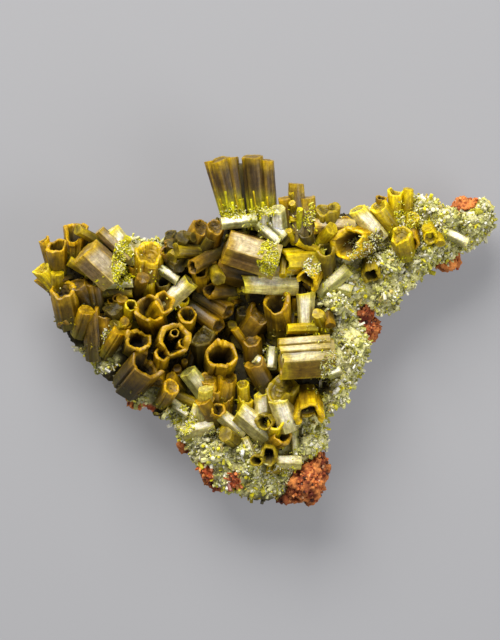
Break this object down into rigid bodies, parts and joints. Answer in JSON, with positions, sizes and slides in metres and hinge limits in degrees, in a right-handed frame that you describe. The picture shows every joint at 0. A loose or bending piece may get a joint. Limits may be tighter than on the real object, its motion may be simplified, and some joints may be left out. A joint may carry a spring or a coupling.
{
  "type": "mineral specimen",
  "caption": "Pyromorphite mineral specimen: hollow six-sided amber barrel crystals on a pale green crust over rusty rock, cut flat at the back to lie on it.",
  "frame": {"origin": "on the flat back that the specimen rests on, under the middle of its basin of hollow crystals", "axes": "+Z out of the display face, +X along the specimen's length to the right of that face, +Y to its top"},
  "size_m": [0.0465, 0.0352, 0.0113],
  "materials": {
    "amber": "resinous to adamantine lustre",
    "brown": "resinous to adamantine lustre",
    "cream": "resinous to adamantine lustre",
    "druse": "finely granular, with small glints",
    "gossan": "matt, rough and earthy",
    "honey": "resinous to adamantine lustre",
    "mint": "resinous to adamantine lustre",
    "olive": "resinous to adamantine lustre",
    "rose": "resinous to adamantine lustre",
    "silver": "resinous to adamantine lustre",
    "yellow": "resinous to adamantine lustre"
  },
  "bodies": {
    "root": {"arm_north_crystals": "cream", "arm_silver_prism": "silver", "arm_south_crystals": "yellow", "basin_centre": "amber", "basin_prisms": "brown", "basin_ring_east": "amber", "basin_ring_west": "amber", "basin_south_west": "brown", "centre_slab": "rose", "cream_prisms": "cream", "east_basin_barrels": "brown", "foot_crystals": "olive", "gold_arch_barrel": "yellow", "gossan_matrix": "gossan", "grain_crust": "druse", "inner_slab": "rose", "left_fan": "amber", "left_flared_barrel": "amber", "left_slab": "rose", "left_wall_barrels": "amber", "lying_prisms": "olive", "mint_prisms": "mint", "north_basin_barrels": "amber", "north_brown_barrels": "brown", "north_east_barrels": "yellow", "north_west_barrel": "amber", "side_barrel": "yellow", "silver_prism_west": "silver", "silver_prisms_east": "silver", "south_amber_barrels": "olive", "south_basin_barrels": "amber", "south_hollow_barrels": "amber", "south_west_prisms": "cream", "spire": "rose", "striated_barrel": "honey", "twin_columns": "amber", "west_columns": "brown"}
  },
  "joints": []
}
